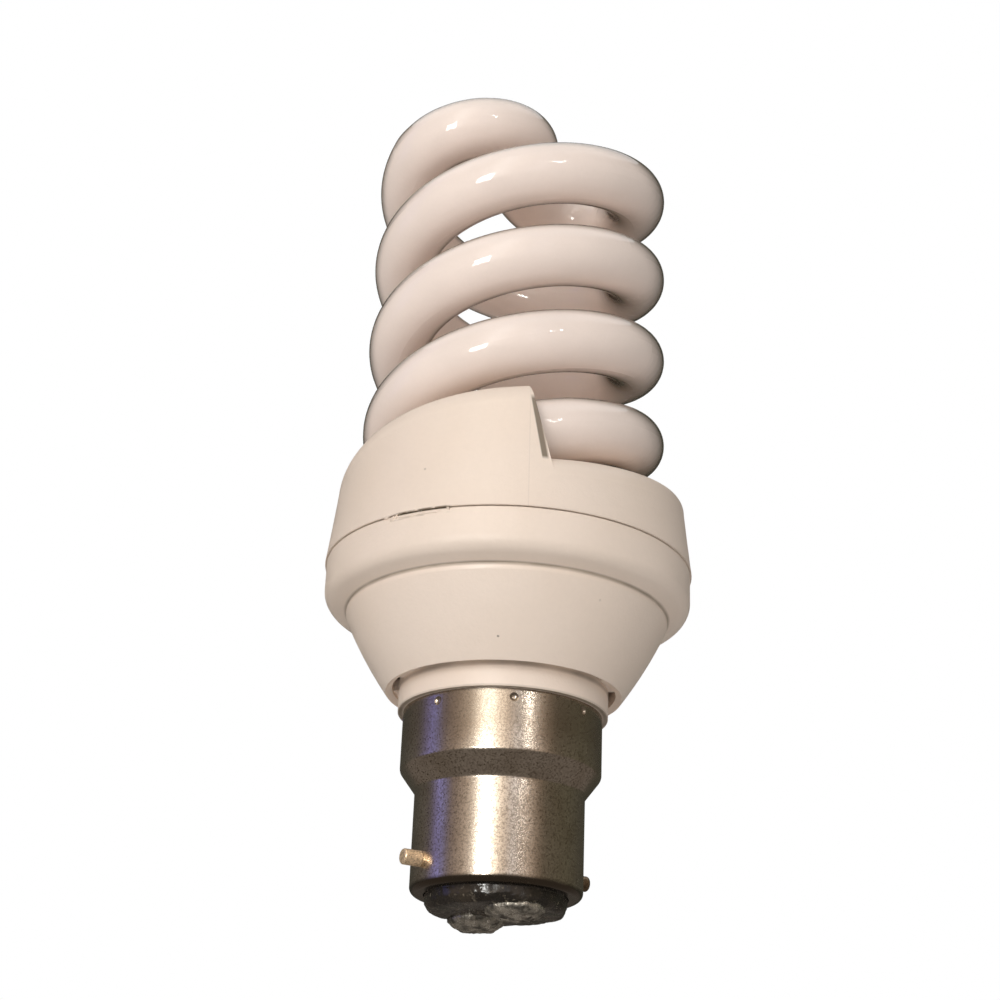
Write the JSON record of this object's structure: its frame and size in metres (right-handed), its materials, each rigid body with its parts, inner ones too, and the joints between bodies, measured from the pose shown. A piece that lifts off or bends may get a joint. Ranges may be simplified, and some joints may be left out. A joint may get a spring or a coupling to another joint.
{
  "type": "spiral energy saving bulb",
  "caption": "Compact fluorescent lamp: a double-helix glass tube on a round ballast housing with a two-pin bayonet cap.",
  "frame": {"origin": "on the bulb's axis, in the plane of the cap shell's lower end", "axes": "+Z along the bulb's axis, from the cap to the top of the spiral; -Y is the front"},
  "size_m": [0.0496, 0.0496, 0.1178],
  "materials": {
    "phosphor_glass": "clear tube coated white inside, glossy",
    "white_plastic": "moulded, satin, slightly yellowed",
    "nickel_plate": "nickel-plated brass, worn",
    "brass": "turned, dull",
    "black_glass": "black glass, glossy",
    "solder": "lumpy solder, dull",
    "board_laminate": "brown paper laminate",
    "ferrite": "fired ferrite, matte",
    "copper_winding": "lacquered copper wire",
    "capacitor_sleeve": "shrunk sleeve",
    "film_case": "dipped, glossy",
    "black_case": "moulded epoxy",
    "resistor_body": "lacquered ceramic",
    "fuse_body": "ceramic",
    "wire_sleeve": "glass-fibre sleeve",
    "tinned_wire": "tinned",
    "board_post": "square brass post"
  },
  "bodies": {
    "root": {"glass_spiral": "phosphor_glass", "ballast_housing": "white_plastic", "tube_cover": "white_plastic", "cap_shell": "nickel_plate", "bayonet_pin_1": "brass", "bayonet_pin_2": "brass", "cap_insulator": "black_glass", "contact_1": "solder", "contact_2": "solder", "circuit_board": "board_laminate", "choke_core": "ferrite", "ring_transformer": "ferrite", "choke_winding": "copper_winding", "smoothing_capacitor": "capacitor_sleeve", "film_capacitor_1": "film_case", "film_capacitor_2": "film_case", "transistor_1": "black_case", "transistor_2": "black_case", "rectifier_diode_1": "black_case", "rectifier_diode_2": "black_case", "rectifier_diode_3": "black_case", "rectifier_diode_4": "black_case", "resistor_1": "resistor_body", "resistor_2": "resistor_body", "resistor_3": "resistor_body", "fuse": "fuse_body", "supply_wire_1": "wire_sleeve", "supply_wire_2": "wire_sleeve", "tube_lead_1": "tinned_wire", "tube_lead_2": "tinned_wire", "tube_lead_3": "tinned_wire", "tube_lead_4": "tinned_wire", "board_post_1": "board_post", "board_post_2": "board_post", "board_post_3": "board_post", "board_post_4": "board_post"}
  },
  "joints": []
}
